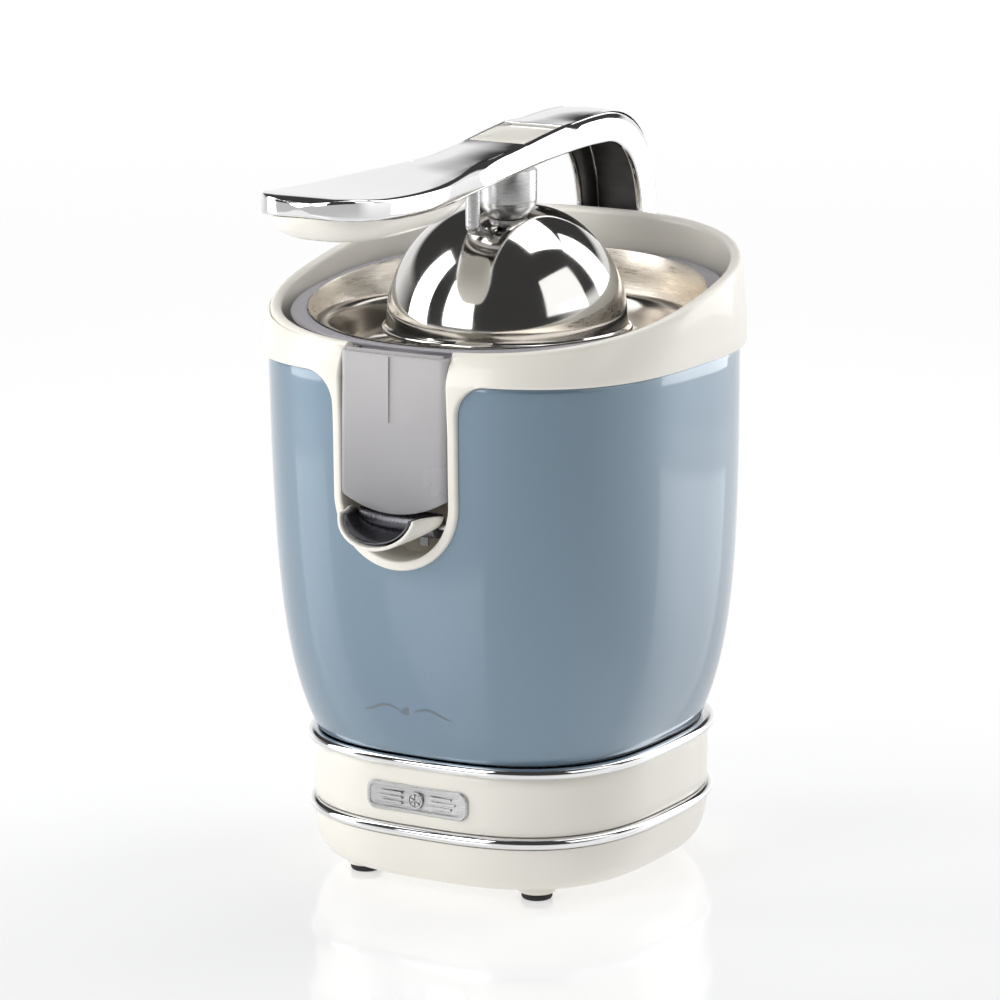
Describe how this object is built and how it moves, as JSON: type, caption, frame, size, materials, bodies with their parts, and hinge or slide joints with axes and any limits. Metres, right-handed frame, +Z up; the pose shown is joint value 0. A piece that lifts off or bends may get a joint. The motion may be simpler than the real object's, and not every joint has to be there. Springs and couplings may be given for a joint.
{
  "type": "citrus press juicer",
  "caption": "Lever-arm electric citrus press: rounded lacquered body, tilted rim, clear juice window with tilting spout, and a steel dome that presses fruit onto a turning reamer.",
  "frame": {"origin": "bottom centre of the bounding box, on the surface the feet stand on", "axes": "+Z up, -Y the front with the window and spout, +X to the right seen from the front"},
  "size_m": [0.1876, 0.2604, 0.3116],
  "materials": {
    "cream_plastic": "satin moulded",
    "lacquered_body": "high gloss lacquer",
    "polished_chrome": "mirror polished",
    "stainless_steel": "bright",
    "brushed_metal": "brushed",
    "clear_plastic": "smoke grey, translucent",
    "black_rubber": "matte",
    "zinc_casting": "as cast",
    "plated_steel": "zinc plated",
    "brass": "machined",
    "gear_plastic": "acetal",
    "dark_plastic": "moulded"
  },
  "bodies": {
    "housing": {"base_pan": "cream_plastic", "base_band": "cream_plastic", "collar": "cream_plastic", "body_shell": "lacquered_body", "ring_lower": "polished_chrome", "ring_upper": "polished_chrome", "strainer": "stainless_steel", "badge_plate": "brushed_metal", "hinge_pin": "brushed_metal", "spout_pin": "brushed_metal", "idler_axle": "brushed_metal", "thrust_spring": "brushed_metal", "juice_collector": "clear_plastic", "foot_front_left": "black_rubber", "foot_front_right": "black_rubber", "foot_rear_left": "black_rubber", "foot_rear_right": "black_rubber", "cord_gland": "black_rubber", "shaft_seal": "black_rubber", "chassis": "zinc_casting", "motor_plate": "zinc_casting", "motor_can": "plated_steel", "base_screw_front_left": "plated_steel", "base_screw_front_right": "plated_steel", "base_screw_rear_left": "plated_steel", "base_screw_rear_right": "plated_steel", "friction_washer_left": "brass", "friction_washer_right": "brass", "start_switch": "dark_plastic"},
    "lever": {"lever_arm": "polished_chrome", "grip_pad": "cream_plastic", "dome_stem": "brushed_metal", "dome": "polished_chrome", "dome_screw": "brushed_metal", "lock_spring": "brushed_metal"},
    "release": {"release_button": "cream_plastic"},
    "lock": {"lock_pin": "brushed_metal"},
    "carrier": {"thrust_sleeve": "brass"},
    "spindle": {"drive_shaft": "brushed_metal", "output_gear": "gear_plastic", "reamer_cone": "stainless_steel"},
    "idler": {"idler_gear": "gear_plastic"},
    "motor_rotor": {"rotor": "brass", "motor_pinion": "brass"},
    "plunger": {"switch_plunger": "brass"},
    "spout": {"spout_trough": "cream_plastic", "spout_lining": "stainless_steel"}
  },
  "joints": [
    {"name": "lever_hinge", "type": "hinge", "parent": "housing", "child": "lever", "pos_m": [0, 0.1214, 0.236], "axis": [-1, 0, 0], "range_deg": [0, 80]},
    {"name": "release_slide", "type": "slide", "parent": "lever", "child": "release", "axis": [0, 1, 0], "range_m": [0, 0.0028], "stiffness_N_per_m": 500, "springref_m": -0.003},
    {"name": "lock_lift", "type": "slide", "parent": "lever", "child": "lock", "axis": [0, 0, 1], "range_m": [0, 0.0015], "deforming": ["lock_spring"]},
    {"name": "spindle_press", "type": "slide", "parent": "housing", "child": "carrier", "axis": [0, 0, -1], "range_m": [0, 0.0015], "stiffness_N_per_m": 5000, "springref_m": -0.003, "deforming": ["thrust_spring"]},
    {"name": "switch_travel", "type": "slide", "parent": "housing", "child": "plunger", "axis": [0, 0, -1], "range_m": [0, 0.0015]},
    {"name": "motor_spin", "type": "hinge", "parent": "housing", "child": "motor_rotor", "pos_m": [0, 0.0334, 0.15], "axis": [0, 0, 1], "continuous": true},
    {"name": "idler_spin", "type": "hinge", "parent": "housing", "child": "idler", "pos_m": [0, 0.0714, 0.165], "axis": [0, 0, 1], "continuous": true},
    {"name": "reamer_spin", "type": "hinge", "parent": "carrier", "child": "spindle", "pos_m": [0, 0.0274, 0.2], "axis": [0, 0, 1], "continuous": true},
    {"name": "spout_tilt", "type": "hinge", "parent": "housing", "child": "spout", "pos_m": [0, -0.0566, 0.1605], "axis": [-1, 0, 0], "range_deg": [0, 15]}
  ],
  "couplings": [
    {"joint": "lock_lift", "follows": "release_slide", "ratio": 0.5},
    {"joint": "switch_travel", "follows": "spindle_press", "ratio": 1},
    {"joint": "idler_spin", "follows": "motor_spin", "ratio": -0.35714},
    {"joint": "reamer_spin", "follows": "motor_spin", "ratio": 0.13393}
  ]
}
